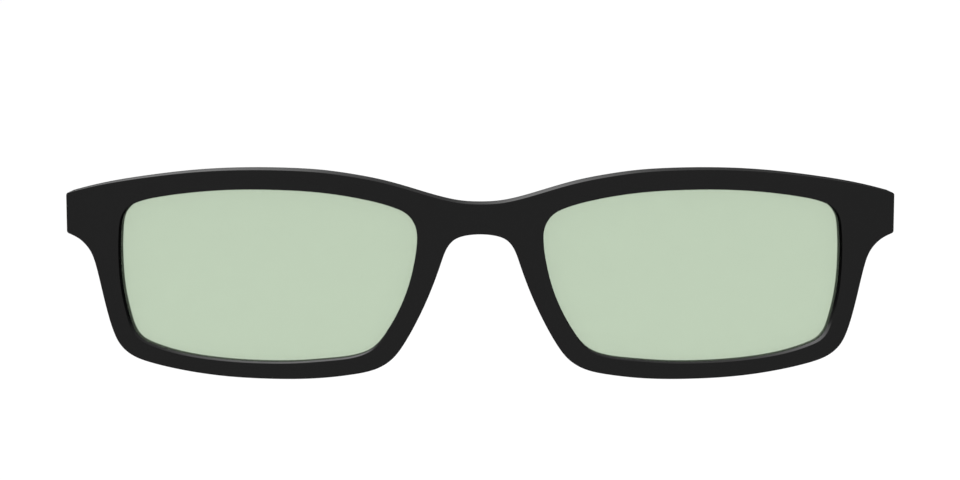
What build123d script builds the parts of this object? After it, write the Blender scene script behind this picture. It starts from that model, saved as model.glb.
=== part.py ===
from build123d import *
import math
import os

# Clip-on sun front for a pair of glasses: one bowed moulding, two tinted lenses, four hidden magnets.
# X runs across the face, Y runs from the front to the back, Z is up.
# Outlines are drawn as seen from straight ahead. They are laid on an upright bow and cut square to it.

# Bow of the front surface
bow_radius = 270.0

# Eye openings
eye_width = 49.97
eye_height = 29.37
eye_spacing = 20.87

# Moulding around the openings
top_rim = 3.31
bottom_rim = 2.61
side_rim = 3.77
nose_rim = 3.99

# End pieces beyond the side rims
end_overhang = 5.0
end_drop = 5.03
end_height = 6.7
notch_drop = 5.85

# Bridge
bridge_drop = 5.33
bridge_height = 5.04
arch_height = 4.73

# Magnet seats, counted from the front surface to the back
skin = 1.05
magnet_diameter = 3.0
magnet_thickness = 1.5
magnet_clearance = 0.05
seal_diameter = 4.0
seal_thickness = 0.6
seal_stand = 0.15
seal_clearance = 0.05
bridge_magnet_offset = 5.5
bridge_magnet_drop = 0.7
end_magnet_inset = 4.3

# Lenses
lens_setback = 1.5
lens_thickness = 0.8
lens_tongue = 0.6
lens_clearance = 0.04

# Edges and cutting
edge_round = 0.12
overrun = 1.0

# Derived sizes. Heights are counted from the middle of the eye openings.
seal_inset = skin + magnet_thickness + magnet_clearance
front_thickness = seal_inset + seal_thickness - seal_stand
eye_middle = eye_spacing / 2 + eye_width / 2
eye_side = eye_width / 2
eye_rise = eye_height / 2
rim_top = eye_rise + top_rim
rim_bottom = eye_rise + bottom_rim
rim_side = eye_side + side_rim
rim_nose = eye_side + nose_rim
side_line = eye_middle + rim_side
end_line = side_line + end_overhang
end_top = rim_top - end_drop
end_bottom = end_top - end_height
notch_foot = end_bottom - notch_drop
bridge_top = rim_top - bridge_drop
arch_top = bridge_top - bridge_height
arch_foot = arch_top - arch_height
arch_line = eye_middle - rim_nose
near_depth = -overrun
bow_depth = bow_radius - math.sqrt(bow_radius ** 2 - end_line ** 2)
far_depth = bow_depth + front_thickness + overrun

# Eye opening in four quarters: top to nose, nose to bottom, bottom to side, side to top.
# In shares of its half width towards the side and of its half height.
eye_quarter_shares = [
    [(0.0, 1.0), (-0.32, 0.984), (-0.64, 0.911), (-0.851, 0.817), (-0.932, 0.747), (-0.986, 0.62), (-1.0, 0.488)],
    [(-1.0, 0.488), (-0.983, 0.212), (-0.917, -0.203), (-0.843, -0.481), (-0.79, -0.632), (-0.738, -0.753),
     (-0.683, -0.835), (-0.616, -0.888), (-0.418, -0.95), (-0.15, -0.992), (0.05, -1.0)],
    [(0.05, -1.0), (0.39, -0.976), (0.663, -0.906), (0.795, -0.84), (0.863, -0.785), (0.905, -0.71),
     (0.944, -0.543), (0.98, -0.268), (0.997, 0.01), (1.0, 0.25)],
    [(1.0, 0.25), (0.994, 0.472), (0.972, 0.655), (0.927, 0.752), (0.86, 0.815), (0.7, 0.888), (0.38, 0.968),
     (0.0, 1.0)],
]
# Direction of the edge where each quarter starts, and again at the first one
turns = [(-1, 0), (0, -1), (1, 0), (0, 1), (-1, 0)]

# Top edge from the middle of the bridge to above the eye, in shares of the eye middle and the rise
brow_shares = [
    (0.0, 0.0), (0.09, 0.032), (0.183, 0.154), (0.324, 0.423), (0.464, 0.671), (0.604, 0.84),
    (0.745, 0.953), (0.88, 0.996),
]

# Top edge from above the eye to the end piece, in shares of the reach and the drop
temple_shares = [
    (0.05, 0.004), (0.225, 0.056), (0.423, 0.188), (0.6, 0.369), (0.773, 0.589), (0.9, 0.799), (1.0, 1.0),
]

# Hollow below the end piece, in shares of the overhang and of its own drop
notch_shares = [(1.0, 0.0), (0.82, 0.062), (0.6, 0.155), (0.37, 0.32), (0.2, 0.515), (0.09, 0.73), (0.0, 1.0)]

# Side and bottom edges of the rim, in shares of its reach and of the way down from the foot of the notch
side_shares = [
    (0.968, 0.229), (0.934, 0.459), (0.902, 0.621), (0.872, 0.716), (0.803, 0.818), (0.69, 0.885),
    (0.514, 0.941), (0.28, 0.985), (0.0, 1.0),
]

# Bottom and nose edges of the rim, in shares of its reach and of the way down from the foot of the arch
nose_shares = [
    (0.28, 0.986), (0.5, 0.945), (0.62, 0.901), (0.71, 0.823), (0.785, 0.687), (0.856, 0.504),
    (0.922, 0.301), (0.976, 0.101),
]

# Arch below the bridge, in shares of half its width and of its height
arch_shares = [(1.0, 0.0), (0.885, 0.42), (0.78, 0.655), (0.64, 0.825), (0.45, 0.93), (0.22, 0.985), (0.0, 1.0)]


def half_outline():
    """Points of the outer edge on one side, from above the bridge round to the arch below it."""
    brow = [(eye_middle * u, bridge_top + bridge_drop * v) for u, v in brow_shares]
    reach = end_line - eye_middle
    temple = [(eye_middle + reach * u, rim_top - end_drop * v) for u, v in temple_shares]
    notch = [(side_line + end_overhang * u, end_bottom - notch_drop * v) for u, v in notch_shares]
    side_fall = notch_foot + rim_bottom
    side = [(eye_middle + rim_side * u, notch_foot - side_fall * v) for u, v in side_shares]
    nose_fall = arch_foot + rim_bottom
    nose = [(eye_middle - rim_nose * u, arch_foot - nose_fall * v) for u, v in nose_shares]
    arch = [(arch_line * u, arch_foot + arch_height * v) for u, v in arch_shares]
    return brow + temple, notch + side + nose + arch


def mirrored(points):
    """The same points on the other side of the middle plane, in the opposite order."""
    return [(-x, z) for x, z in reversed(points)]


def carried(points, depth):
    """Front-view points taken along the lines to the axis of the bow, onto the plane at this depth."""
    share = (bow_radius - depth) / bow_radius
    return [(x / math.sqrt(1 - (x / bow_radius) ** 2) * share, depth, z) for x, z in points]


def outer_wire(depth):
    """Outer edge at this depth: top edge, two straight ends and the whole lower edge."""
    top, low = half_outline()
    top_points = carried(mirrored(top)[:-1] + top, depth)
    low_points = carried(low + mirrored(low)[1:], depth)
    top_edge = Edge.make_spline(top_points)
    low_edge = Edge.make_spline(low_points)
    left_end = Edge.make_line(top_points[-1], low_points[0])
    right_end = Edge.make_line(low_points[-1], top_points[0])
    return Wire([top_edge, left_end, low_edge, right_end])


def eye_outline(growth):
    """Four quarters of the opening on the left of the face, moved outwards by an even growth."""
    outline = []
    for number, shares in enumerate(eye_quarter_shares):
        points = [(eye_middle + eye_side * u, eye_rise * v) for u, v in shares]
        curve = Edge.make_spline(points, tangents=turns[number : number + 2])
        quarter = []
        for x, z in points:
            tangent = curve.tangent_at(curve.param_at_point((x, z)))
            quarter.append((x + tangent.Y * growth, z - tangent.X * growth))
        outline.append(quarter)
    return outline


def closed_wire(outline, depth):
    """Smooth closed outline of four quarters at this depth."""
    edges = []
    for number, quarter in enumerate(outline):
        ends = [(across, 0, along) for across, along in turns[number : number + 2]]
        edges.append(Edge.make_spline(carried(quarter, depth), tangents=ends))
    return Wire(edges)


def bow_layer(outer_inset, inner_inset):
    """Upright cylindrical layer between two distances behind the front surface."""
    height = 2 * (rim_top + rim_bottom + overrun)
    layer = Cylinder(bow_radius - outer_inset, height) - Cylinder(bow_radius - inner_inset, height)
    reach = end_line + overrun
    window = Box(2 * reach, bow_depth + 2 * (front_thickness + overrun), height)
    window_middle = (bow_depth + front_thickness) / 2
    return (Pos(0, bow_radius, 0) * layer) & (Pos(0, window_middle, 0) * window)


def eye_sheet(growth, outer_inset, inner_inset):
    """Bowed sheet with the outline of the opening, grown evenly, and walls square to the bow."""
    outline = eye_outline(growth)
    walls = Solid.make_loft([closed_wire(outline, near_depth), closed_wire(outline, far_depth)], ruled=True)
    return bow_layer(outer_inset, inner_inset) & walls


def on_bow(across, height, inset):
    """Placement on the bow: local Z points straight back, square to the surface."""
    angle = math.asin(across / bow_radius)
    radius = bow_radius - inset
    x = radius * math.sin(angle)
    y = bow_radius - radius * math.cos(angle)
    return Plane(origin=(x, y, height), x_dir=(0, 0, 1), z_dir=(-math.sin(angle), math.cos(angle), 0))


def disc(diameter, start, end, place):
    """Round disc or hole between two distances behind the front surface."""
    across, height = place
    base = on_bow(across, height, start)
    return base * Cylinder(diameter / 2, end - start, align=(Align.CENTER, Align.CENTER, Align.MIN))


def end_corners(body):
    """The four edges at the corners of the end pieces: out past the rims, and level from front to back."""
    ends = [edge for edge in body.edges() if abs(edge.center().X) > side_line]
    return [edge for edge in ends if edge.bounding_box().size.Z < edge.length / 2]


def bowed_edges(body):
    """All edges of the front surface and of the back surface."""
    surfaces = body.faces().filter_by(GeomType.CYLINDER).sort_by(SortBy.AREA)[-2:]
    return [edge for face in surfaces for edge in face.edges()]


def both_sides(shape):
    """The shape on the left of the face and its mirror image on the right."""
    return [shape, shape.mirror(Plane.YZ)]


def make_front():
    """The moulding: bowed sheet, end pieces, two openings with a groove each, and four magnet seats."""
    walls = Solid.make_loft([outer_wire(near_depth), outer_wire(far_depth)], ruled=True)
    body = bow_layer(0, front_thickness) & walls
    groove_start = lens_setback - lens_clearance
    groove_end = lens_setback + lens_thickness + lens_clearance
    for groove in both_sides(eye_sheet(lens_tongue + lens_clearance, groove_start, groove_end)):
        body -= groove
    for opening in both_sides(eye_sheet(0, -overrun, front_thickness + overrun)):
        body -= opening
    body = fillet(end_corners(body) + bowed_edges(body), edge_round)
    for place in magnet_places.values():
        body -= disc(magnet_diameter + 2 * magnet_clearance, skin, front_thickness + overrun, place)
        body -= disc(seal_diameter + 2 * seal_clearance, seal_inset, front_thickness + overrun, place)
    return body


def make_lenses():
    """Tinted lenses, each with a tongue all round that sits in its groove of the moulding."""
    return both_sides(eye_sheet(lens_tongue, lens_setback, lens_setback + lens_thickness))


bridge_magnet_height = (bridge_top + arch_top) / 2 - bridge_magnet_drop
end_magnet_height = (end_top + end_bottom) / 2
magnet_places = {}
for name, side in (("left", 1), ("right", -1)):
    magnet_places["bridge_" + name] = (side * bridge_magnet_offset, bridge_magnet_height)
    magnet_places["end_" + name] = (side * (end_line - end_magnet_inset), end_magnet_height)

lens_left, lens_right = make_lenses()
parts = {"front_frame": make_front(), "lens_left": lens_left, "lens_right": lens_right}
for name, place in magnet_places.items():
    parts["magnet_" + name] = disc(magnet_diameter, skin, skin + magnet_thickness, place)
    parts["magnet_seal_" + name] = disc(seal_diameter, seal_inset, seal_inset + seal_thickness, place)

# The origin is below the middle of the whole front, on the surface that the rims stand on.
extent = parts["front_frame"].bounding_box()
own_frame = Pos(0, -(extent.min.Y + extent.max.Y) / 2, -extent.min.Z)
os.makedirs("parts", exist_ok=True)
for name, shape in parts.items():
    placed = own_frame * shape
    export_step(placed, f"parts/{name}.step")
    size = placed.bounding_box()
    print(name, "size", [round(v, 3) for v in size.size], "low", [round(v, 3) for v in size.min])
for name, (across, height) in magnet_places.items():
    seat = on_bow(across, height, front_thickness + seal_stand)
    face = (own_frame * seat.location).position
    print(name, "face", [round(v, 4) for v in face], "outwards", [round(v, 6) for v in seat.z_dir])
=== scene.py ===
"""Visual model of a bowed clip-on sun front, built around its CAD frame. Lengths are in metres.

X runs across the face, Y from the front to the back, Z up. Outlines are drawn as seen from
straight ahead, laid flat along the bow, and given their depth square to it.
"""
import math

import bmesh
import bpy
import numpy as np
from bpy.props import FloatProperty, FloatVectorProperty, IntProperty, PointerProperty
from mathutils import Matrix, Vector


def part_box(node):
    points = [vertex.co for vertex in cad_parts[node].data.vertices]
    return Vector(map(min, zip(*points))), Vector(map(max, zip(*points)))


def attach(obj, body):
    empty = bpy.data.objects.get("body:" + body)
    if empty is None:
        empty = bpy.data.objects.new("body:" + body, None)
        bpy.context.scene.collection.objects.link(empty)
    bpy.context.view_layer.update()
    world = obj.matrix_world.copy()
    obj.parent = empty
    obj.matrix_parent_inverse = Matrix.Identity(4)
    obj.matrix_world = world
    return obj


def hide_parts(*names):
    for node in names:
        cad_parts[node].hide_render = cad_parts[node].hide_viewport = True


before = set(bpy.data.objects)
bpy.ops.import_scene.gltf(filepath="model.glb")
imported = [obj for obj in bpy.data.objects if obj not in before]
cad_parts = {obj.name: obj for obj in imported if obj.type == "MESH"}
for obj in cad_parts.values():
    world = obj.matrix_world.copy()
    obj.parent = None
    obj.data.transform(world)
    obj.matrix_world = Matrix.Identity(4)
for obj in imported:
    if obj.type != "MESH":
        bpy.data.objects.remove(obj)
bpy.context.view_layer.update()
front_low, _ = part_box("front_frame")
lens_low, lens_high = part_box("lens_left")

bl_info = {
    "name": "Clip-on Sun Front",
    "version": (1, 0, 0),
    "blender": (4, 5, 0),
    "location": "View3D > Sidebar > Clip-on",
    "description": "Moulding, tinted lenses, magnets and stage of a clip-on sun front",
    "category": "Add Mesh",
}

# Opening for the lens on the wearer's left, from its nose side over the top, the side and the
# bottom, in shares of its half width towards the side and of its half height
eye_shares = [
    [(-1.0, 0.488), (-0.986, 0.62), (-0.932, 0.747), (-0.851, 0.817), (-0.64, 0.911),
     (-0.32, 0.984), (0.0, 1.0)],
    [(0.0, 1.0), (0.38, 0.968), (0.7, 0.888), (0.86, 0.815), (0.927, 0.752), (0.972, 0.655),
     (0.994, 0.472), (1.0, 0.25)],
    [(1.0, 0.25), (0.997, 0.01), (0.98, -0.268), (0.944, -0.543), (0.905, -0.71),
     (0.863, -0.785), (0.795, -0.84), (0.663, -0.906), (0.39, -0.976), (0.05, -1.0)],
    [(0.05, -1.0), (-0.15, -0.992), (-0.418, -0.95), (-0.616, -0.888), (-0.683, -0.835),
     (-0.738, -0.753), (-0.79, -0.632), (-0.843, -0.481), (-0.917, -0.203), (-0.983, 0.212),
     (-1.0, 0.488)],
]
# Direction of the opening's edge where each of its quarters starts, and again at the first one
eye_turns = [(0, 1), (1, 0), (0, -1), (-1, 0), (0, 1)]

# Top edge of the moulding over the nose, in shares of the way to the opening's middle and of
# the rise above the bridge
brow_shares = [
    (0.0, 0.0), (0.09, 0.032), (0.183, 0.154), (0.324, 0.423), (0.464, 0.671), (0.604, 0.84),
    (0.745, 0.953), (0.88, 0.996),
]
# Top edge from above the opening out to the end piece, in shares of the reach and of the drop
temple_shares = [
    (0.05, 0.004), (0.225, 0.056), (0.423, 0.188), (0.6, 0.369), (0.773, 0.589), (0.9, 0.799),
    (1.0, 1.0),
]
# Hollow below the end piece, in shares of the overhang and of its own drop
notch_shares = [
    (1.0, 0.0), (0.82, 0.062), (0.6, 0.155), (0.37, 0.32), (0.2, 0.515), (0.09, 0.73), (0.0, 1.0),
]
# Side and bottom of the rim, in shares of its reach and of the way down from the hollow's foot
side_shares = [
    (0.968, 0.229), (0.934, 0.459), (0.902, 0.621), (0.872, 0.716), (0.803, 0.818), (0.69, 0.885),
    (0.514, 0.941), (0.28, 0.985), (0.0, 1.0),
]
# Bottom and nose side of the rim, in shares of its reach and of the way down from the arch's foot
nose_shares = [
    (0.28, 0.986), (0.5, 0.945), (0.62, 0.901), (0.71, 0.823), (0.785, 0.687), (0.856, 0.504),
    (0.922, 0.301), (0.976, 0.101),
]
# Arch over the nose, in shares of half its width and of its height
arch_shares = [
    (1.0, 0.0), (0.885, 0.42), (0.78, 0.655), (0.64, 0.825), (0.45, 0.93), (0.22, 0.985),
    (0.0, 1.0),
]
# Places of the magnets and their seals, as their nodes' names end
magnet_places = ("bridge_left", "bridge_right", "end_left", "end_right")

# Points on each span of a curve, on an end corner, on the round of an edge and on that of a seal
curve_steps, corner_steps, edge_steps, seal_steps = 40, 12, 7, 6
# Rings of a lens's face, and rows of the moulding's faces in shares of the way to the opening
lens_rings = 14
face_shares = (0, 0.05, 0.2, 0.4, 0.6, 0.8, 0.95, 1)
# Points closer than this become one, and edges that turn more than this stay sharp
weld_distance = 1e-6
sharp_angle = math.radians(35)

# Index of refraction of the moulding, the lenses and the resin
plastic_index = 1.5
# Values that noise mostly lies between, and where a colour is at its darkest and lightest
noise_range = (0.25, 0.75)
tone_range = (0.3, 0.7)

# Light for gloss, by the parts of its unit direction: where each change starts and where it ends.
# From the dim right to the bright left, into the back, into the front, and up from the horizon
left_range = (0.09, -0.19)
back_range = (-0.1, 0.5)
front_range = (0.1, -0.4)
rise_range = (0, 0.1)
# Higher up, the light from behind grows by this factor
high_range = (0.18, 0.3)
high_gain = 1.6


class ClipShape(bpy.types.PropertyGroup):
    """Sizes of the sun front"""
    bow_radius: FloatProperty(
        name="Bow radius", description="Radius of the front surface, seen from above",
        default=0.270, unit="LENGTH")
    thickness: FloatProperty(
        name="Thickness", description="Moulding from its front to its back surface",
        default=0.00305, unit="LENGTH")
    edge_round: FloatProperty(
        name="Edge round", description="Radius along all front and back edges",
        default=0.00012, unit="LENGTH")
    end_corner: FloatProperty(
        name="End corner", description="Radius of the end pieces' corners",
        default=0.0005, unit="LENGTH")
    eye_width: FloatProperty(
        name="Opening width", description="Width of each lens opening",
        default=0.04997, unit="LENGTH")
    eye_spacing: FloatProperty(
        name="Opening spacing", description="Between the two openings",
        default=0.02087, unit="LENGTH")
    top_rim: FloatProperty(
        name="Top rim", description="Moulding above the opening",
        default=0.00331, unit="LENGTH")
    side_rim: FloatProperty(
        name="Side rim", description="Moulding beside the opening",
        default=0.00377, unit="LENGTH")
    nose_rim: FloatProperty(
        name="Nose rim", description="Moulding between opening and nose",
        default=0.00399, unit="LENGTH")
    end_overhang: FloatProperty(
        name="End overhang", description="End piece beyond the side rim",
        default=0.005, unit="LENGTH")
    end_drop: FloatProperty(
        name="End drop", description="End piece's top below the rim's top",
        default=0.00503, unit="LENGTH")
    end_height: FloatProperty(
        name="End height", description="Height of the end piece's outer face",
        default=0.0067, unit="LENGTH")
    notch_drop: FloatProperty(
        name="Notch drop", description="Height of the hollow below the end piece",
        default=0.00585, unit="LENGTH")
    bridge_drop: FloatProperty(
        name="Bridge drop", description="Bridge's top below the rim's top",
        default=0.00533, unit="LENGTH")
    bridge_height: FloatProperty(
        name="Bridge height", description="Height of the bridge at its middle",
        default=0.00504, unit="LENGTH")
    arch_height: FloatProperty(
        name="Arch height", description="Height of the arch below the bridge",
        default=0.00473, unit="LENGTH")
    lens_setback: FloatProperty(
        name="Lens setback", description="Lens behind the front surface",
        default=0.0015, unit="LENGTH")
    lens_thickness: FloatProperty(
        name="Lens thickness", description="Thickness of each lens",
        default=0.0008, unit="LENGTH")
    lens_tongue: FloatProperty(
        name="Lens tongue", description="Lens edge inside the groove",
        default=0.0006, unit="LENGTH")
    lens_clearance: FloatProperty(
        name="Lens clearance", description="Between the lens and its groove",
        default=0.00004, unit="LENGTH")
    lens_bevel: FloatProperty(
        name="Lens bevel", description="Bevel on the lens's edges",
        default=0.00008, unit="LENGTH")
    pocket_clearance: FloatProperty(
        name="Pocket clearance", description="Gap round a disc in its pocket",
        default=0.00005, unit="LENGTH")
    pocket_chamfer: FloatProperty(
        name="Pocket chamfer", description="Chamfer at a pocket's mouth",
        default=0.00008, unit="LENGTH")
    magnet_chamfer: FloatProperty(
        name="Magnet chamfer", description="Chamfer on a magnet's edges",
        default=0.00012, unit="LENGTH")
    seal_round: FloatProperty(
        name="Seal round", description="Rounding of a seal's outer edge",
        default=0.00015, unit="LENGTH")
    column_step: FloatProperty(
        name="Mesh step", description="Spacing of the mesh along the edges",
        default=0.0005, unit="LENGTH")
    corner_step: FloatProperty(
        name="Corner step", description="Spacing of the mesh round the end corners",
        default=0.00009, unit="LENGTH")
    disc_sides: IntProperty(
        name="Disc sides", description="Sides of a round disc",
        default=72)


class ClipFinish(bpy.types.PropertyGroup):
    """Colours and surfaces of the sun front"""
    moulding_colour: FloatVectorProperty(
        name="Moulding colour", description="Black of the moulding",
        default=(0.004, 0.004, 0.004), subtype="COLOR", min=0, max=1)
    moulding_roughness: FloatProperty(
        name="Moulding roughness", description="Satin of the moulding",
        default=0.24, subtype="FACTOR", min=0, max=1)
    lens_colour: FloatVectorProperty(
        name="Lens colour", description="Grey-green tint of the lenses",
        default=(0.576, 0.687, 0.531), subtype="COLOR", min=0, max=1)
    lens_clarity: FloatProperty(
        name="Lens clarity",
        description="Share of the light that isn't scattered by the lens's haze",
        default=0.87, subtype="FACTOR", min=0, max=1)
    lens_roughness: FloatProperty(
        name="Lens roughness", description="Polish of the lenses",
        default=0.01, subtype="FACTOR", min=0, max=1)
    magnet_colour: FloatVectorProperty(
        name="Magnet colour", description="Nickel plating of the magnets",
        default=(0.62, 0.6, 0.57), subtype="COLOR", min=0, max=1)
    magnet_roughness: FloatProperty(
        name="Magnet roughness", description="Tumbled plating",
        default=0.27, subtype="FACTOR", min=0, max=1)
    seal_colour: FloatVectorProperty(
        name="Seal colour", description="Clear resin of the seals",
        default=(0.9, 0.91, 0.89), subtype="COLOR", min=0, max=1)
    seal_roughness: FloatProperty(
        name="Seal roughness", description="Gloss of the resin",
        default=0.06, subtype="FACTOR", min=0, max=1)


class ClipStage(bpy.types.PropertyGroup):
    """Camera, light and floor"""
    camera_distance: FloatProperty(
        name="Camera distance", description="From the middle of the front",
        default=0.6, unit="LENGTH")
    camera_elevation: FloatProperty(
        name="Camera elevation", description="Camera above the horizon",
        default=math.radians(10.8), unit="ROTATION")
    camera_lens: FloatProperty(
        name="Focal length", description="On a sensor 36 mm wide",
        default=136.5, unit="CAMERA")
    aim_across: FloatProperty(
        name="Aim across",
        description="Point in the middle of the picture, from the middle of the front",
        default=-0.000045, unit="LENGTH")
    aim_height: FloatProperty(
        name="Aim height", description="Height of the point in the middle of the picture",
        default=0.02401, unit="LENGTH")
    floor_drop: FloatProperty(
        name="Floor drop",
        description="Floor below the front, so that its shadow stays out of the picture",
        default=0.3, unit="LENGTH")
    floor_colour: FloatVectorProperty(
        name="Floor colour", description="White of the floor",
        default=(0.8, 0.8, 0.8), subtype="COLOR", min=0, max=1)
    floor_glow: FloatProperty(
        name="Floor glow", description="Light of the floor's own, where it shows as background",
        default=0.21, subtype="FACTOR", min=0, max=1)
    lamp_place: FloatVectorProperty(
        name="Lamp place", description="Middle of the soft lamp",
        default=(-0.7, 0.1, 1.0), subtype="TRANSLATION", unit="LENGTH")
    lamp_power: FloatProperty(
        name="Lamp power", description="Soft lamp above the left",
        default=3.0, unit="POWER")
    lamp_size: FloatProperty(
        name="Lamp size", description="Side of the soft lamp",
        default=0.9, unit="LENGTH")
    bright_side: FloatProperty(
        name="Bright side", description="Light that gloss picks up from behind on the left",
        default=0.6, subtype="FACTOR", min=0, max=1)
    dim_side: FloatProperty(
        name="Dim side", description="Light that gloss picks up from behind on the right",
        default=0.1, subtype="FACTOR", min=0, max=1)
    front_side: FloatProperty(
        name="Front side", description="Light that gloss picks up from the front",
        default=0.3, subtype="FACTOR", min=0, max=1)


def smooth_curve(points, start=None, end=None):
    """Cubic spline through the points, with the straight runs between them as its parameter.

    On each span the curve is the cubic with the given points and slopes at its two ends. The
    slopes solve the equations that make its bending continuous. Where an end has no given
    direction, it runs out without bending. Returns the points and the unit directions, evenly
    spaced in each span.
    """
    points = np.asarray(points, float)
    runs = np.linalg.norm(np.diff(points, axis=0), axis=1)[:, None]
    chords = np.diff(points, axis=0) / runs
    count = len(points)
    inner = np.arange(1, count - 1)
    system = np.zeros((count, count))
    system[inner, inner - 1] = runs[1:, 0]
    system[inner, inner] = 2 * (runs[:-1, 0] + runs[1:, 0])
    system[inner, inner + 1] = runs[:-1, 0]
    system[0, :2] = (2, 1) if start is None else (1, 0)
    system[-1, -2:] = (1, 2) if end is None else (0, 1)
    known = np.zeros((count, 2))
    known[inner] = 3 * (runs[1:] * chords[:-1] + runs[:-1] * chords[1:])
    known[0] = 3 * chords[0] if start is None else start
    known[-1] = 3 * chords[-1] if end is None else end
    slopes = np.linalg.solve(system, known)
    share = np.linspace(0, 1, curve_steps, endpoint=False)[None, :, None]
    near, far, runs = points[:-1, None], points[1:, None], runs[:, None]
    near_slope, far_slope = slopes[:-1, None], slopes[1:, None]
    places = near + (far - near) * share ** 2 * (3 - 2 * share)
    places = places + runs * share * (1 - share) * ((1 - share) * near_slope - share * far_slope)
    ways = (far - near) / runs * 6 * share * (1 - share)
    ways = ways + (1 - share) * (1 - 3 * share) * near_slope + share * (3 * share - 2) * far_slope
    places = np.vstack([places.reshape(-1, 2), points[-1:]])
    ways = np.vstack([ways.reshape(-1, 2), slopes[-1:]])
    return places, ways / np.linalg.norm(ways, axis=1, keepdims=True)


def lengths_along(places):
    """Distance from the first point to each point, along the line through them."""
    return np.concatenate([[0], np.cumsum(np.linalg.norm(np.diff(places, axis=0), axis=1))])


def read_at(line, stations):
    """Points and unit directions of a line at the given distances along it."""
    places, ways = line
    lengths = lengths_along(places)
    found = np.stack([np.interp(stations, lengths, places[:, axis]) for axis in (0, 1)], axis=1)
    turned = np.stack([np.interp(stations, lengths, ways[:, axis]) for axis in (0, 1)], axis=1)
    return found, turned / np.linalg.norm(turned, axis=1, keepdims=True)


def station_of(line, point):
    """Distance along a line to the place on it that is nearest to a point."""
    places, _ = line
    nearest = np.argmin(np.linalg.norm(places - np.asarray(point), axis=1))
    return lengths_along(places)[nearest]


def joined(*lines):
    """One line from several that meet end to end, with each meeting point kept once."""
    places = np.vstack([lines[0][0]] + [line[0][1:] for line in lines[1:]])
    ways = np.vstack([lines[0][1]] + [line[1][1:] for line in lines[1:]])
    return places, ways


def corner_arc(before, after, radius):
    """Round corner between two lines: the direction turns evenly from the one's to the other's.

    Returns the two lines cut back by the radius times the tangent of half the turn, and between
    them the arc, whose points are the radius times the change in the sine and cosine of the turn.
    """
    first = math.atan2(before[1][-1, 1], before[1][-1, 0])
    last = math.atan2(after[1][0, 1], after[1][0, 0])
    cut = radius * math.tan(abs(last - first) / 2)
    before_stations = lengths_along(before[0])
    after_stations = lengths_along(after[0])
    stop = before_stations[-1] - cut
    before = read_at(before, np.append(before_stations[before_stations < stop], stop))
    after = read_at(after, np.append(cut, after_stations[after_stations > cut]))
    angles = np.linspace(first, last, corner_steps)
    turn = math.copysign(radius, last - first)
    moves = [np.sin(angles) - math.sin(first), math.cos(first) - np.cos(angles)]
    arc = before[0][-1] + np.stack(moves, axis=1) * turn
    return before, (arc, np.stack([np.cos(angles), np.sin(angles)], axis=1)), after


def unrolled(places, radius):
    """Points seen from straight ahead, laid flat along the bow.

    The distance across becomes the radius times the angle whose sine is that distance divided by
    the radius.
    """
    across, height = np.asarray(places, float).T
    return np.stack([radius * np.arcsin(across / radius), height], axis=1)


def outwards(ways):
    """Unit direction to the left of each one: out of the moulding, or into it round an opening."""
    return np.stack([-ways[..., 1], ways[..., 0]], axis=-1)


def on_bow(flat, depth, radius):
    """Points of the front laid flat, put on an upright cylinder and moved square to it.

    The angle is the way along the bow divided by its radius, and the depth shortens the radius.
    """
    angle = flat[..., 0] / radius
    reach = radius - depth
    back = front_low.y + radius - reach * np.cos(angle)
    return np.stack(np.broadcast_arrays(reach * np.sin(angle), back, flat[..., 1]), axis=-1)


def opening_middle(shape):
    """Where the opening on the wearer's left has its middle, across and up, and half its height."""
    middle = shape.eye_spacing / 2 + shape.eye_width / 2
    height = (lens_low.z + lens_high.z) / 2
    rise = (lens_high.z - lens_low.z) / 2 - shape.lens_tongue
    return middle, height, rise


def eye_line(shape):
    """Edge of the opening on the wearer's left, laid flat, from its nose side over the top.

    It is four smooth quarters that meet where the edge runs straight up, across or down.
    """
    middle, height, rise = opening_middle(shape)
    quarters = []
    for number, shares in enumerate(eye_shares):
        places = [(middle + shape.eye_width / 2 * u, height + rise * v) for u, v in shares]
        places = unrolled(places, shape.bow_radius)
        quarters.append(smooth_curve(places, *eye_turns[number : number + 2]))
    return joined(*quarters)


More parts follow.
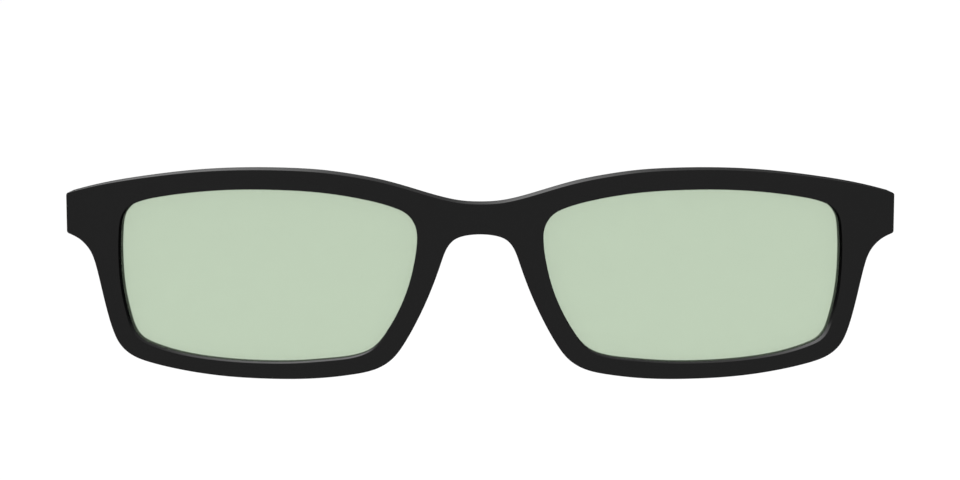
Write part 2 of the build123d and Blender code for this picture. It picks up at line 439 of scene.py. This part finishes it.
def outer_line(shape):
    """Outer edge of one half, laid flat, from the top of the bridge round to the arch.

    Two smooth curves, over the top and along the bottom, meet the straight end face in round
    corners. Returns the line, the distances along it where the mesh changes its step, and pairs
    of points of the outer edge and of the opening that the mesh joins.
    """
    middle, height, rise = opening_middle(shape)
    rim_top = height + rise + shape.top_rim
    side_line = middle + shape.eye_width / 2 + shape.side_rim
    end_line = side_line + shape.end_overhang
    end_bottom = rim_top - shape.end_drop - shape.end_height
    notch_foot = end_bottom - shape.notch_drop
    bridge_top = rim_top - shape.bridge_drop
    arch_foot = bridge_top - shape.bridge_height - shape.arch_height
    rim_side = side_line - middle
    rim_nose = shape.eye_width / 2 + shape.nose_rim

    brow = [(middle * u, bridge_top + shape.bridge_drop * v) for u, v in brow_shares]
    temple = [
        (middle + (end_line - middle) * u, rim_top - shape.end_drop * v) for u, v in temple_shares
    ]
    notch = [
        (side_line + shape.end_overhang * u, end_bottom - shape.notch_drop * v)
        for u, v in notch_shares
    ]
    side = [(middle + rim_side * u, notch_foot * (1 - v)) for u, v in side_shares]
    nose = [(middle - rim_nose * u, arch_foot * (1 - v)) for u, v in nose_shares]
    arch = [((middle - rim_nose) * u, arch_foot + shape.arch_height * v) for u, v in arch_shares]

    top = smooth_curve(unrolled(brow + temple, shape.bow_radius), start=(1, 0))
    low = smooth_curve(unrolled(notch + side + nose + arch, shape.bow_radius), end=(-1, 0))
    end_places = np.linspace(top[0][-1], low[0][0], curve_steps)
    end = (end_places, np.broadcast_to((0.0, -1.0), end_places.shape))
    top, upper_arc, end = corner_arc(top, end, shape.end_corner)
    end, lower_arc, low = corner_arc(end, low, shape.end_corner)
    line = joined(top, upper_arc, end, lower_arc, low)

    pieces = [lengths_along(piece[0])[-1] for piece in (top, upper_arc, end, lower_arc)]
    facing = [
        (brow[0], eye_shares[0][2]), (temple[0], eye_shares[0][-1]),
        (temple[-1], eye_shares[1][4]), (notch[0], eye_shares[1][6]),
        (notch[-1], eye_shares[1][-1]), (side[3], eye_shares[2][4]),
        (side[-1], eye_shares[2][-1]), (nose[2], eye_shares[3][4]),
        (arch[0], eye_shares[3][-2]), (arch[-1], eye_shares[3][-1]),
    ]
    outer_points = unrolled([pair[0] for pair in facing], shape.bow_radius)
    eye_points = [(middle + shape.eye_width / 2 * u, height + rise * v) for _, (u, v) in facing]
    eye_points = unrolled(eye_points, shape.bow_radius)
    return line, np.cumsum(pieces), list(zip(outer_points, eye_points))


def quads(rows, columns, first, closed):
    """Four-sided faces between neighbours of a grid that is counted row by row from first.

    A closed grid also has faces from its last column to its first.
    """
    spans = np.arange(columns if closed else columns - 1)
    row, column = np.meshgrid(np.arange(rows - 1), spans, indexing="ij")
    beside = (column + 1) % columns
    corners = [
        row * columns + column, row * columns + beside,
        (row + 1) * columns + beside, (row + 1) * columns + column,
    ]
    return first + np.stack(corners, axis=-1).reshape(-1, 4)


def closed_mesh(name, grids, mirrored=False):
    """Mesh from grids of points that meet at their edges: welded, with its faces outwards.

    Each grid is an array of rows by columns by three, and says whether it closes round its
    columns. A mirrored mesh also has the same grids on the other side of the middle plane.
    """
    if mirrored:
        grids = grids + [(points * (-1, 1, 1), closed) for points, closed in grids]
    places, faces, first = [], [], 0
    for points, closed in grids:
        places.append(points.reshape(-1, 3))
        faces.append(quads(points.shape[0], points.shape[1], first, closed))
        first += points.shape[0] * points.shape[1]
    mesh = bpy.data.meshes.new(name)
    mesh.from_pydata(np.vstack(places).tolist(), [], np.vstack(faces).tolist())
    shell = bmesh.new()
    shell.from_mesh(mesh)
    bmesh.ops.remove_doubles(shell, verts=shell.verts, dist=weld_distance)
    bmesh.ops.dissolve_degenerate(shell, edges=shell.edges, dist=weld_distance)
    bmesh.ops.recalc_face_normals(shell, faces=shell.faces)
    shell.to_mesh(mesh)
    shell.free()
    return mesh


def finished_piece(name, mesh, material, node):
    """Object at the origin with a smooth mesh that keeps its sharp edges, in a CAD node's place."""
    mesh.shade_smooth()
    mesh.set_sharp_from_angle(angle=sharp_angle)
    mesh.materials.clear()
    mesh.materials.append(material)
    piece = bpy.data.objects.new(name, mesh)
    bpy.context.scene.collection.objects.link(piece)
    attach(piece, "root")
    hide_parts(node)
    return piece


def moulding_mesh(shape):
    """Half of the moulding as four grids round its section, mirrored.

    The outer grid carries the rounded outer edges and their wall along the outer line. The eye
    grid carries the inner edges, their wall and the groove round the opening. The front and back
    grids run straight across from one to the other, on the bow.
    """
    radius, depth, edge = shape.bow_radius, shape.thickness, shape.edge_round
    outer, marks, facing = outer_line(shape)
    eye = eye_line(shape)
    total, round_eye = lengths_along(outer[0])[-1], lengths_along(eye[0])[-1]

    breaks = [0, *marks, total]
    wide, fine = shape.column_step, shape.corner_step
    stations = np.concatenate([
        np.linspace(near, far, max(2, round((far - near) / step)), endpoint=False)
        for near, far, step in zip(breaks[:-1], breaks[1:], (wide, fine, wide, fine, wide))
    ] + [[total]])
    outer_marks = [station_of(outer, pair[0]) for pair in facing]
    eye_marks = [station_of(eye, pair[1]) for pair in facing]
    # The opening's last point is its first again, a whole round further on
    eye_marks[-1] = round_eye
    eye_stations = np.interp(stations, outer_marks, eye_marks)

    outer_places, outer_ways = read_at(outer, stations)
    # Points up the middle of the bridge face what is left of the opening's nose side
    rise = outer_places[0, 1] - outer_places[-1, 1] - 2 * edge
    middle_shares = np.linspace(0, 1, round(rise / wide) + 1)[1:-1]
    middle_heights = outer_places[-1, 1] + edge + rise * middle_shares
    middle_places = np.stack([0 * middle_shares, middle_heights], axis=1)
    eye_stations = np.concatenate([eye_stations, eye_marks[0] * middle_shares])
    eye_places, eye_ways = read_at(eye, eye_stations % round_eye)

    # The section, as offsets out of the edge and depths: a quarter round at the front and the back
    turn = np.linspace(0, math.pi / 2, edge_steps)
    outer_offset = np.concatenate([edge * (np.sin(turn) - 1), edge * (np.cos(turn) - 1)])
    outer_depth = np.concatenate([edge * (1 - np.cos(turn)), depth - edge + edge * np.sin(turn)])
    groove = shape.lens_tongue + shape.lens_clearance
    groove_near = shape.lens_setback - shape.lens_clearance
    groove_far = shape.lens_setback + shape.lens_thickness + shape.lens_clearance
    eye_offset = np.concatenate([
        edge * (1 - np.sin(turn)), [0, groove, groove, 0], edge * (1 - np.cos(turn))])
    eye_depth = np.concatenate([
        edge * (1 - np.cos(turn)), [groove_near, groove_near, groove_far, groove_far],
        depth - edge + edge * np.sin(turn)])

    outer_grid = outer_places + outer_offset[:, None, None] * outwards(outer_ways)
    eye_grid = eye_places + eye_offset[:, None, None] * outwards(eye_ways)
    outer_ring = np.vstack([outer_grid[0], middle_places])
    across = np.array(face_shares)[:, None, None]
    face_grid = outer_ring + across * (eye_grid[0] - outer_ring)
    grids = [
        (on_bow(outer_grid, outer_depth[:, None], radius), False),
        (on_bow(eye_grid, eye_depth[:, None], radius), True),
        (on_bow(face_grid, 0, radius), True),
        (on_bow(face_grid, depth, radius), True),
    ]
    return closed_mesh("moulding", grids, mirrored=True)


def disc_place(node, radius):
    """Angle, height, diameter, and front and back depth of a round disc, from its node's box.

    The box is as deep as the disc's thickness times the cosine of its angle on the bow, and its
    diameter times the sine.
    """
    low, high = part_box(node)
    middle = (low + high) / 2
    behind = front_low.y + radius - middle.y
    angle = math.atan2(middle.x, behind)
    diameter = high.z - low.z
    thickness = (high.y - low.y - diameter * abs(math.sin(angle))) / math.cos(angle)
    depth = radius - math.hypot(middle.x, behind)
    return angle, middle.z, diameter, depth - thickness / 2, depth + thickness / 2


def turned_disc(profile, angle, height, radius, sides):
    """Profile of distances from an axis and depths along it, turned round the axis.

    The axis stands square to the bow at the given angle and height. Each point lies at its depth
    along it, and at its distance times the cosine and sine of the turn to the side and up.
    """
    away, depth = np.asarray(profile, float).T[:, :, None]
    turn = np.linspace(0, 2 * math.pi, sides, endpoint=False)
    set_back = radius * (1 - math.cos(angle))
    centre = np.array([radius * math.sin(angle), front_low.y + set_back, height])
    back = np.array([-math.sin(angle), math.cos(angle), 0])
    side = np.array([math.cos(angle), math.sin(angle), 0])
    ring = np.cos(turn)[None, :, None] * side + np.sin(turn)[None, :, None] * np.array([0, 0, 1])
    return centre + depth[..., None] * back + away[..., None] * ring


def surface(name):
    """New material, with its nodes, its links and its main shader."""
    material = bpy.data.materials.new(name)
    material.use_nodes = True
    nodes, links = material.node_tree.nodes, material.node_tree.links
    return material, nodes, links, nodes["Principled BSDF"]


def grain(nodes, links, scale, detail=2):
    """Even noise in the object's own space. The scale is the number of grains to a metre."""
    place = nodes.new("ShaderNodeTexCoord")
    noise = nodes.new("ShaderNodeTexNoise")
    noise.inputs["Scale"].default_value = scale
    noise.inputs["Detail"].default_value = detail
    links.new(place.outputs["Object"], noise.inputs["Vector"])
    return noise.outputs["Fac"]


def mapped(nodes, links, value, old_range, new_range, smooth=False):
    """Value taken from one range to another, evenly or with a smooth start and end."""
    step = nodes.new("ShaderNodeMapRange")
    if smooth:
        step.interpolation_type = "SMOOTHSTEP"
    for end, old, new in zip(("Min", "Max"), old_range, new_range):
        step.inputs["From " + end].default_value = old
        step.inputs["To " + end].default_value = new
    links.new(value, step.inputs["Value"])
    return step.outputs["Result"]


def combined(nodes, links, operation, first, second):
    """Two values joined by a sum, product or maximum."""
    joint = nodes.new("ShaderNodeMath")
    joint.operation = operation
    links.new(first, joint.inputs[0])
    links.new(second, joint.inputs[1])
    return joint.outputs["Value"]


def around(middle, change):
    """Range from a share below a value to the same share above it."""
    return middle * (1 - change), middle * (1 + change)


def tones(nodes, links, value, colour, change):
    """The colour, a little darker and a little lighter by turns."""
    ramp = nodes.new("ShaderNodeValToRGB")
    for element, share, place in zip(ramp.color_ramp.elements, around(1, change), tone_range):
        element.position = place
        element.color = [channel * share for channel in colour] + [1]
    links.new(value, ramp.inputs["Fac"])
    return ramp.outputs["Color"]


def relief(nodes, links, shader, value, height, strength):
    """Fine relief of the given height on the shader's surface."""
    bump = nodes.new("ShaderNodeBump")
    bump.inputs["Strength"].default_value = strength
    bump.inputs["Distance"].default_value = height
    links.new(value, bump.inputs["Height"])
    links.new(bump.outputs["Normal"], shader.inputs["Normal"])


def moulding_material(finish):
    """Satin black plastic: soft cloudy changes of gloss, and the fine grain of the mould."""
    material, nodes, links, shader = surface("satin_black_plastic")
    rough_range = around(finish.moulding_roughness, change=0.08)
    cloud = grain(nodes, links, scale=160, detail=4)
    colour = tones(nodes, links, cloud, finish.moulding_colour, change=0.05)
    links.new(colour, shader.inputs["Base Color"])
    links.new(mapped(nodes, links, cloud, noise_range, rough_range), shader.inputs["Roughness"])
    fine = grain(nodes, links, scale=9000)
    relief(nodes, links, shader, fine, height=0.000002, strength=0.35)
    shader.inputs["IOR"].default_value = plastic_index
    return material


def lens_material(finish):
    """Polished plastic: the tint takes its share of the light, and a faint haze scatters some."""
    material, nodes, links, shader = surface("grey_green_lens")
    rough_range = (0, finish.lens_roughness)
    haze = grain(nodes, links, scale=240, detail=3)
    colour = tones(nodes, links, haze, finish.lens_colour, change=0.004)
    links.new(colour, shader.inputs["Base Color"])
    links.new(mapped(nodes, links, haze, noise_range, rough_range), shader.inputs["Roughness"])
    shader.inputs["Transmission Weight"].default_value = finish.lens_clarity
    shader.inputs["IOR"].default_value = plastic_index
    return material


def magnet_material(finish):
    """Nickel plating, tumbled: bright metal with fine scuffs."""
    material, nodes, links, shader = surface("nickel_plating")
    rough_range = around(finish.magnet_roughness, change=0.3)
    scuffs = grain(nodes, links, scale=14000, detail=5)
    stain = grain(nodes, links, scale=1500, detail=3)
    colour = tones(nodes, links, stain, finish.magnet_colour, change=0.05)
    links.new(colour, shader.inputs["Base Color"])
    links.new(mapped(nodes, links, scuffs, noise_range, rough_range), shader.inputs["Roughness"])
    relief(nodes, links, shader, scuffs, height=0.000002, strength=0.4)
    shader.inputs["Metallic"].default_value = 1
    return material


def seal_material(finish):
    """Clear hard resin with a faint unevenness from its pouring."""
    material, nodes, links, shader = surface("clear_resin")
    rough_range = (0, finish.seal_roughness)
    pour = grain(nodes, links, scale=900)
    colour = tones(nodes, links, pour, finish.seal_colour, change=0.015)
    links.new(colour, shader.inputs["Base Color"])
    links.new(mapped(nodes, links, pour, noise_range, rough_range), shader.inputs["Roughness"])
    relief(nodes, links, shader, pour, height=0.00001, strength=0.2)
    shader.inputs["Transmission Weight"].default_value = 1
    shader.inputs["IOR"].default_value = plastic_index
    return material


class CLIP_OT_moulding(bpy.types.Operator):
    """Make the black moulding, with its grooves and its magnet pockets"""
    bl_idname = "clip_on.moulding"
    bl_label = "Moulding"

    def execute(self, context):
        shape = context.scene.clip_shape
        solid = bpy.data.objects.new("moulding_blank", moulding_mesh(shape))
        context.scene.collection.objects.link(solid)
        cutters = []
        gap, chamfer, past = shape.pocket_clearance, shape.pocket_chamfer, shape.edge_round
        for name in magnet_places:
            angle, height, magnet, skin, _ = disc_place("magnet_" + name, shape.bow_radius)
            _, _, seal, shoulder, _ = disc_place("magnet_seal_" + name, shape.bow_radius)
            magnet_reach, seal_reach = magnet / 2 + gap, seal / 2 + gap
            mouth, outside = shape.thickness - chamfer, shape.thickness + past
            profile = [
                (0, skin), (magnet_reach, skin), (magnet_reach, shoulder), (seal_reach, shoulder),
                (seal_reach, mouth), (seal_reach + chamfer + past, outside), (0, outside),
            ]
            points = turned_disc(profile, angle, height, shape.bow_radius, shape.disc_sides)
            cutter = bpy.data.objects.new("pocket_" + name, closed_mesh("pocket", [(points, True)]))
            context.scene.collection.objects.link(cutter)
            cut = solid.modifiers.new(name, "BOOLEAN")
            cut.operation = "DIFFERENCE"
            cut.solver = "EXACT"
            cut.object = cutter
            cutters.append(cutter)
        context.view_layer.update()
        pocketed = solid.evaluated_get(context.evaluated_depsgraph_get())
        mesh = bpy.data.meshes.new_from_object(pocketed)
        for spare in [solid, *cutters]:
            bpy.data.objects.remove(spare)
        material = moulding_material(context.scene.clip_finish)
        finished_piece("black_moulding", mesh, material, "front_frame")
        return {"FINISHED"}


class CLIP_OT_lenses(bpy.types.Operator):
    """Make the two tinted lenses, with their tongues in the grooves"""
    bl_idname = "clip_on.lenses"
    bl_label = "Lenses"

    def execute(self, context):
        shape = context.scene.clip_shape
        radius, bevel = shape.bow_radius, shape.lens_bevel
        eye = eye_line(shape)
        round_eye = lengths_along(eye[0])[-1]
        stations = np.linspace(0, round_eye, round(round_eye / shape.column_step), endpoint=False)
        places, ways = read_at(eye, stations)
        centre = (places.min(axis=0) + places.max(axis=0)) / 2
        rings = np.linspace(0, 1, lens_rings)
        front, back = shape.lens_setback, shape.lens_setback + shape.lens_thickness
        each = np.ones(lens_rings)
        share = np.concatenate([rings, [1, 1], rings[::-1]])
        growth = shape.lens_tongue - bevel * np.concatenate([each, [0, 0], each])
        depth = np.concatenate([each * front, [front + bevel, back - bevel], each * back])
        grown = places + growth[:, None, None] * outwards(ways)
        points = on_bow(centre + share[:, None, None] * (grown - centre), depth[:, None], radius)
        material = lens_material(context.scene.clip_finish)
        for side, turn in (("left", 1), ("right", -1)):
            mesh = closed_mesh("lens_" + side, [(points * (turn, 1, 1), True)])
            lens = finished_piece("tinted_lens_" + side, mesh, material, "lens_" + side)
            lens.visible_glossy = False
        return {"FINISHED"}


class CLIP_OT_magnets(bpy.types.Operator):
    """Make the four magnet discs"""
    bl_idname = "clip_on.magnets"
    bl_label = "Magnets"

    def execute(self, context):
        shape = context.scene.clip_shape
        chamfer = shape.magnet_chamfer
        material = magnet_material(context.scene.clip_finish)
        for name in magnet_places:
            angle, height, diameter, near, far = disc_place("magnet_" + name, shape.bow_radius)
            reach = diameter / 2
            profile = [
                (0, near), (reach - chamfer, near), (reach, near + chamfer),
                (reach, far - chamfer), (reach - chamfer, far), (0, far),
            ]
            points = turned_disc(profile, angle, height, shape.bow_radius, shape.disc_sides)
            mesh = closed_mesh("magnet", [(points, True)])
            finished_piece("magnet_disc_" + name, mesh, material, "magnet_" + name)
        return {"FINISHED"}


class CLIP_OT_seals(bpy.types.Operator):
    """Make the four resin seals over the magnets"""
    bl_idname = "clip_on.seals"
    bl_label = "Seals"

    def execute(self, context):
        shape = context.scene.clip_shape
        edge = shape.seal_round
        material = seal_material(context.scene.clip_finish)
        turn = np.linspace(0, math.pi / 2, seal_steps)
        for name in magnet_places:
            angle, height, diameter, near, far = disc_place("magnet_seal_" + name, shape.bow_radius)
            reach = diameter / 2
            arc = [reach - edge + edge * np.cos(turn), far - edge + edge * np.sin(turn)]
            profile = np.vstack([[(0, near), (reach, near)], np.stack(arc, axis=1), [(0, far)]])
            points = turned_disc(profile, angle, height, shape.bow_radius, shape.disc_sides)
            mesh = closed_mesh("seal", [(points, True)])
            finished_piece("resin_seal_" + name, mesh, material, "magnet_seal_" + name)
        return {"FINISHED"}


def backdrop_share(nodes, links):
    """The light path's node, and 1 for the rays that show the background.

    They are those straight from the camera and those through the lenses.
    """
    path = nodes.new("ShaderNodeLightPath")
    camera, through = path.outputs["Is Camera Ray"], path.outputs["Is Transmission Ray"]
    return path, combined(nodes, links, "MAXIMUM", camera, through)


def make_world(stage):
    """White all round for the camera and the lenses, an even soft light, and the light for gloss.

    Gloss picks up a bright left and a dim right from behind, stronger higher up, and a dim front.
    Between the front and the back, and behind below the horizon, it finds dark.
    """
    world = bpy.data.worlds.new("studio")
    bpy.context.scene.world = world
    world.use_nodes = True
    nodes, links = world.node_tree.nodes, world.node_tree.links
    path, shown = backdrop_share(nodes, links)
    place = nodes.new("ShaderNodeTexCoord")
    parts = nodes.new("ShaderNodeSeparateXYZ")
    links.new(place.outputs["Generated"], parts.inputs["Vector"])

    def ramp(axis, where, strengths):
        return mapped(nodes, links, parts.outputs[axis], where, strengths, smooth=True)

    def product(first, second):
        return combined(nodes, links, "MULTIPLY", first, second)

    left = ramp("X", left_range, (stage.dim_side, stage.bright_side))
    above = product(ramp("Z", rise_range, (0, 1)), ramp("Z", high_range, (1, high_gain)))
    behind = product(ramp("Y", back_range, (0, 1)), product(left, above))
    front = ramp("Y", front_range, (0, stage.front_side))
    gloss = combined(nodes, links, "ADD", behind, front)
    even = nodes.new("ShaderNodeMix")
    even.inputs["A"].default_value = 1
    links.new(path.outputs["Is Glossy Ray"], even.inputs["Factor"])
    links.new(gloss, even.inputs["B"])
    final = nodes.new("ShaderNodeMix")
    final.inputs["B"].default_value = 1
    links.new(shown, final.inputs["Factor"])
    links.new(even.outputs["Result"], final.inputs["A"])
    background = nodes["Background"]
    background.inputs["Color"].default_value = (1, 1, 1, 1)
    links.new(final.outputs["Result"], background.inputs["Strength"])


def floor_material(stage):
    """White floor that takes a shadow: most of its light is reflected, a small share its own."""
    material, nodes, links, shader = surface("white_floor")
    shader.inputs["Base Color"].default_value = [*stage.floor_colour, 1]
    shader.inputs["Roughness"].default_value = 1
    shader.inputs["Specular IOR Level"].default_value = 0
    _, shown = backdrop_share(nodes, links)
    shader.inputs["Emission Color"].default_value = (1, 1, 1, 1)
    own = nodes.new("ShaderNodeMath")
    own.operation = "MULTIPLY"
    own.inputs[1].default_value = stage.floor_glow
    links.new(shown, own.inputs[0])
    links.new(own.outputs["Value"], shader.inputs["Emission Strength"])
    return material


class CLIP_OT_stage(bpy.types.Operator):
    """Make the floor, the soft light and the camera"""
    bl_idname = "clip_on.stage"
    bl_label = "Stage"

    def execute(self, context):
        scene, stage = context.scene, context.scene.clip_stage
        scene.view_settings.view_transform = "Standard"
        make_world(stage)

        # The floor's reach to each side, in front of the clip and behind it
        across, near, far = 5.0, -0.35, 9.0
        corners = [(-across, near), (across, near), (across, far), (-across, far)]
        mesh = bpy.data.meshes.new("floor")
        mesh.from_pydata([(x, y, -stage.floor_drop) for x, y in corners], [], [(0, 1, 2, 3)])
        mesh.materials.append(floor_material(stage))
        floor = bpy.data.objects.new("floor", mesh)
        scene.collection.objects.link(floor)
        floor.visible_glossy = False

        aim = Vector((stage.aim_across, front_low.y, stage.aim_height))
        lamp = bpy.data.lights.new("soft_lamp", "AREA")
        lamp.energy = stage.lamp_power
        lamp.shape = "SQUARE"
        lamp.size = stage.lamp_size
        holder = bpy.data.objects.new("soft_lamp", lamp)
        holder.location = stage.lamp_place
        holder.rotation_mode = "QUATERNION"
        holder.rotation_quaternion = (aim - holder.location).to_track_quat("-Z", "Y")
        scene.collection.objects.link(holder)

        camera = bpy.data.objects.new("camera", bpy.data.cameras.new("camera"))
        camera.data.sensor_width = 36
        camera.data.lens = stage.camera_lens
        camera.data.clip_start = 0.01
        camera.data.clip_end = 100
        rise = stage.camera_elevation
        camera.location = aim + stage.camera_distance * Vector((0, -math.cos(rise), math.sin(rise)))
        camera.rotation_mode = "QUATERNION"
        camera.rotation_quaternion = (aim - camera.location).to_track_quat("-Z", "Y")
        scene.collection.objects.link(camera)
        scene.camera = camera
        return {"FINISHED"}


class CLIP_PT_panel(bpy.types.Panel):
    """Steps and settings of the sun front"""
    bl_idname = "CLIP_PT_panel"
    bl_label = "Clip-on Sun Front"
    bl_space_type = "VIEW_3D"
    bl_region_type = "UI"
    bl_category = "Clip-on"

    def draw(self, context):
        layout = self.layout
        for step in steps:
            layout.operator(step.bl_idname)
        scene = context.scene
        for group in (scene.clip_shape, scene.clip_finish, scene.clip_stage):
            box = layout.box()
            for name in group.__annotations__:
                box.prop(group, name)


steps = (CLIP_OT_moulding, CLIP_OT_lenses, CLIP_OT_magnets, CLIP_OT_seals, CLIP_OT_stage)
classes = (ClipShape, ClipFinish, ClipStage, *steps, CLIP_PT_panel)


def register():
    """Registers the classes and gives every scene its settings."""
    for each in classes:
        bpy.utils.register_class(each)
    bpy.types.Scene.clip_shape = PointerProperty(type=ClipShape)
    bpy.types.Scene.clip_finish = PointerProperty(type=ClipFinish)
    bpy.types.Scene.clip_stage = PointerProperty(type=ClipStage)


def unregister():
    """Takes the settings and the classes away again."""
    del bpy.types.Scene.clip_stage
    del bpy.types.Scene.clip_finish
    del bpy.types.Scene.clip_shape
    for each in reversed(classes):
        bpy.utils.unregister_class(each)


def main():
    """Makes every piece and the stage."""
    register()
    bpy.ops.clip_on.moulding()
    bpy.ops.clip_on.lenses()
    bpy.ops.clip_on.magnets()
    bpy.ops.clip_on.seals()
    bpy.ops.clip_on.stage()


if __name__ == "__main__":
    main()
